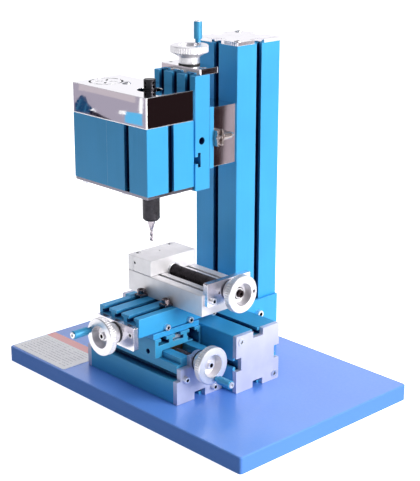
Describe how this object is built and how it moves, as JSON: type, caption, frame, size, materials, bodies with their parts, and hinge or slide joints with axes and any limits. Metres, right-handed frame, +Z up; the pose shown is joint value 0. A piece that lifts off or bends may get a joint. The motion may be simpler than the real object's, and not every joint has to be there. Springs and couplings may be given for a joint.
{
  "type": "benchtop milling machine",
  "caption": "Small hobby milling machine: slotted aluminium column and bed on a board, hand-wound slides, a vise, and a head with an offset motor driving the spindle.",
  "frame": {"origin": "centre of the board's underside", "axes": "+Z up, +X to the machine's right, -Y towards the operator, who turns the cross-slide handwheel there"},
  "size_m": [0.296, 0.2228, 0.3091],
  "materials": {
    "board_blue": "gloss blue lacquer on a wooden board",
    "card": "printed matt card, plain bands and rules",
    "anodised_blue": "satin blue anodised extrusion",
    "polished_plate": "polished aluminium",
    "bright_aluminium": "fine milled and turned aluminium",
    "screw_steel": "zinc-plated steel",
    "chrome": "mirror chromed",
    "black_steel": "black oxide steel",
    "ground_steel": "ground steel",
    "bronze": "bronze",
    "black_plastic": "moulded black plastic",
    "belt_rubber": "black rubber"
  },
  "bodies": {
    "base": {"base_board": "board_blue", "label_card": "card", "board_bolts": "screw_steel", "bed_beam": "anodised_blue", "bed_end_plates": "polished_plate", "beam_end_screws": "screw_steel", "column_beam": "anodised_blue", "column_cap": "polished_plate", "column_brackets": "anodised_blue", "column_bracket_screws": "screw_steel", "x_rail": "anodised_blue", "x_end_plates": "polished_plate", "x_end_screws": "screw_steel", "z_rail": "anodised_blue", "z_nut": "bronze", "z_clamp_block": "bright_aluminium", "z_clamp_side_plates": "polished_plate", "z_clamp_bolts": "screw_steel", "z_lock": "screw_steel"},
    "x_carriage": {"x_carriage": "anodised_blue", "y_rail": "anodised_blue", "y_rail_bolts": "screw_steel", "carriage_nuts": "bronze"},
    "x_wheel": {"x_lead_screw": "ground_steel", "x_handwheel": "bright_aluminium"},
    "x_grip": {"x_handle_grip": "anodised_blue"},
    "y_table": {"y_table": "anodised_blue", "y_table_screws": "screw_steel", "y_end_plate": "polished_plate", "vise_body": "bright_aluminium", "vise_fixed_jaw": "bright_aluminium", "vise_screws": "screw_steel", "vise_end_plate": "bright_aluminium", "vise_clamps": "screw_steel"},
    "y_wheel": {"y_lead_screw": "ground_steel", "y_handwheel": "bright_aluminium"},
    "y_grip": {"y_handle_grip": "anodised_blue"},
    "vise_jaw": {"vise_moving_jaw": "bright_aluminium"},
    "vise_wheel": {"vise_screw": "black_steel", "vise_handwheel": "bright_aluminium"},
    "head": {"z_carriage": "anodised_blue", "z_end_plate": "polished_plate", "head_screws": "screw_steel", "spindle_beam": "anodised_blue", "motor_housing": "anodised_blue", "belt_cover": "chrome", "head_bottom_plate": "polished_plate", "motor": "ground_steel", "spindle_bearings": "ground_steel", "drive_belt": "belt_rubber", "power_socket": "black_plastic"},
    "z_wheel": {"z_lead_screw": "ground_steel", "z_handwheel": "bright_aluminium"},
    "z_grip": {"z_handle_grip": "anodised_blue"},
    "spindle": {"spindle_shaft": "ground_steel", "spindle_pulley": "black_plastic", "spindle_cap": "black_steel", "collet_nut": "black_steel", "end_mill": "ground_steel"},
    "motor_rotor": {"motor_shaft": "ground_steel"}
  },
  "joints": [
    {"name": "x_slide", "type": "slide", "parent": "base", "child": "x_carriage", "axis": [1, 0, 0], "range_m": [-0.034, 0.021]},
    {"name": "x_wheel_turn", "type": "hinge", "parent": "base", "child": "x_wheel", "pos_m": [0.05, -0.047, 0.04655], "axis": [1, 0, 0], "range_deg": [-12242, 7562]},
    {"name": "x_grip_turn", "type": "hinge", "parent": "x_wheel", "child": "x_grip", "pos_m": [0.06, -0.04384, 0.03477], "axis": [1, 0, 0], "continuous": true},
    {"name": "y_slide", "type": "slide", "parent": "x_carriage", "child": "y_table", "axis": [0, 1, 0], "range_m": [-0.027, 0.013]},
    {"name": "y_wheel_turn", "type": "hinge", "parent": "y_table", "child": "y_wheel", "pos_m": [-0.005, -0.092, 0.06735], "axis": [0, 1, 0], "range_deg": [-9722, 4682]},
    {"name": "y_grip_turn", "type": "hinge", "parent": "y_wheel", "child": "y_grip", "pos_m": [-0.01684, -0.105, 0.0703], "axis": [0, 1, 0], "continuous": true},
    {"name": "vise_jaw_slide", "type": "slide", "parent": "y_table", "child": "vise_jaw", "axis": [1, 0, 0], "range_m": [0, 0.034]},
    {"name": "vise_wheel_turn", "type": "hinge", "parent": "vise_jaw", "child": "vise_wheel", "pos_m": [0.055, -0.0195, 0.1023], "axis": [1, 0, 0], "range_deg": [-2, 12242]},
    {"name": "z_slide", "type": "slide", "parent": "base", "child": "head", "axis": [0, 0, 1], "range_m": [-0.017, 0.024]},
    {"name": "z_wheel_turn", "type": "hinge", "parent": "head", "child": "z_wheel", "pos_m": [-0.0125, -0.00145, 0.28], "axis": [0, 0, 1], "range_deg": [-6122, 8642]},
    {"name": "z_grip_turn", "type": "hinge", "parent": "z_wheel", "child": "z_grip", "pos_m": [-0.01504, 0.01048, 0.29], "axis": [0, 0, 1], "continuous": true},
    {"name": "spindle_spin", "type": "hinge", "parent": "head", "child": "spindle", "pos_m": [-0.014, -0.0428, 0.2], "axis": [0, 0, 1], "continuous": true},
    {"name": "motor_spin", "type": "hinge", "parent": "head", "child": "motor_rotor", "pos_m": [-0.061, -0.0428, 0.2], "axis": [0, 0, 1], "continuous": true}
  ],
  "couplings": [
    {"joint": "x_wheel_turn", "follows": "x_slide", "rad_per_m": 6283.2},
    {"joint": "y_wheel_turn", "follows": "y_slide", "rad_per_m": 6283.2},
    {"joint": "z_wheel_turn", "follows": "z_slide", "rad_per_m": 6283.2},
    {"joint": "vise_wheel_turn", "follows": "vise_jaw_slide", "rad_per_m": 6283.2},
    {"joint": "motor_spin", "follows": "spindle_spin", "ratio": 1.5}
  ]
}
